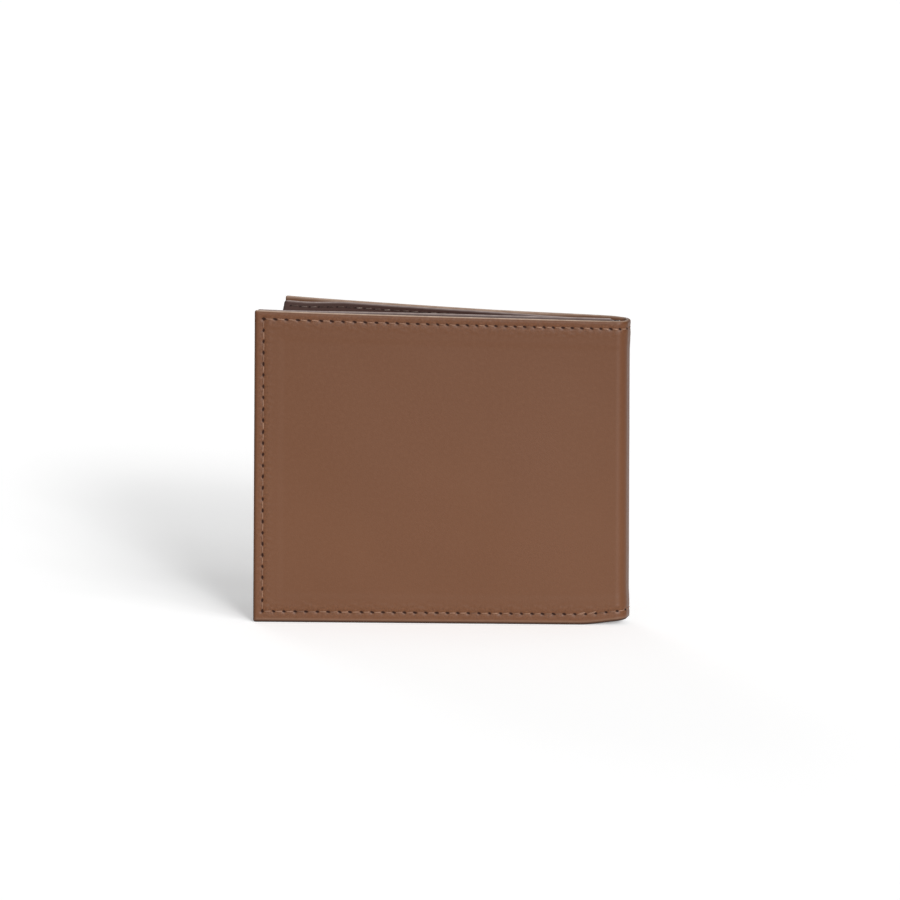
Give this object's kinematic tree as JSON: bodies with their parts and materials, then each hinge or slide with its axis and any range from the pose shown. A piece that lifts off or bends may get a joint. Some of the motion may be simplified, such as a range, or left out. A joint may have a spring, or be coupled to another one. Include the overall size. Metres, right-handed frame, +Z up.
{
  "type": "bifold wallet",
  "caption": "Bifold wallet of stitched leather, standing slightly open on its long edge; it folds shut and opens flat, with a banknote compartment and card pockets.",
  "frame": {"origin": "middle of the underside of the bounding box in the rest pose, on the surface the wallet stands on", "axes": "+Z up along the wallet's height, +X from the free edges towards the fold, -Y is the way the front leaf's outer face looks"},
  "size_m": [0.1114, 0.0438, 0.092],
  "materials": {
    "outer_leather": "smooth brown full-grain leather, satin",
    "edge_leather": "smooth brown leather turned inwards",
    "inner_leather": "smooth darker brown leather, satin",
    "pocket_leather": "smooth brown leather, satin",
    "board": "thin fibre interlining, matt",
    "compartment_cloth": "dark brown woven cloth",
    "divider_cloth": "dark brown woven cloth",
    "pocket_cloth": "dark brown woven cloth",
    "thread": "light brown waxed thread"
  },
  "bodies": {
    "front_cover": {"front_shell": "outer_leather", "front_turned_edges": "edge_leather", "front_stiffener": "board", "front_bill_lining": "compartment_cloth", "front_divider": "divider_cloth", "front_inner_panel": "inner_leather", "front_slot_upper": "pocket_leather", "front_slot_middle": "pocket_leather", "front_slot_lower": "pocket_leather", "front_slot_upper_lining": "pocket_cloth", "front_slot_middle_lining": "pocket_cloth", "front_edge_stitches": "thread", "front_panel_stitches": "thread", "front_slot_stitches": "thread"},
    "spine": {"spine_shell": "outer_leather", "spine_turned_edges": "edge_leather", "spine_lining": "compartment_cloth", "spine_divider": "divider_cloth", "spine_stitches": "thread"},
    "rear_cover": {"rear_shell": "outer_leather", "rear_turned_edges": "edge_leather", "rear_stiffener": "board", "rear_bill_lining": "compartment_cloth", "rear_divider": "divider_cloth", "rear_inner_panel": "inner_leather", "rear_slot_upper": "pocket_leather", "rear_slot_middle": "pocket_leather", "rear_slot_lower": "pocket_leather", "rear_slot_upper_lining": "pocket_cloth", "rear_slot_middle_lining": "pocket_cloth", "rear_edge_stitches": "thread", "rear_panel_stitches": "thread", "rear_slot_stitches": "thread"}
  },
  "joints": [
    {"name": "front_fold", "type": "hinge", "parent": "front_cover", "child": "spine", "pos_m": [0.0537, -0.02128, 0], "axis": [0, 0, -1], "range_deg": [-9, 81]},
    {"name": "rear_fold", "type": "hinge", "parent": "spine", "child": "rear_cover", "pos_m": [0.0551, -0.01249, 0], "axis": [0, 0, -1], "range_deg": [-9, 81]}
  ],
  "couplings": [
    {"joint": "rear_fold", "follows": "front_fold", "ratio": 1}
  ]
}
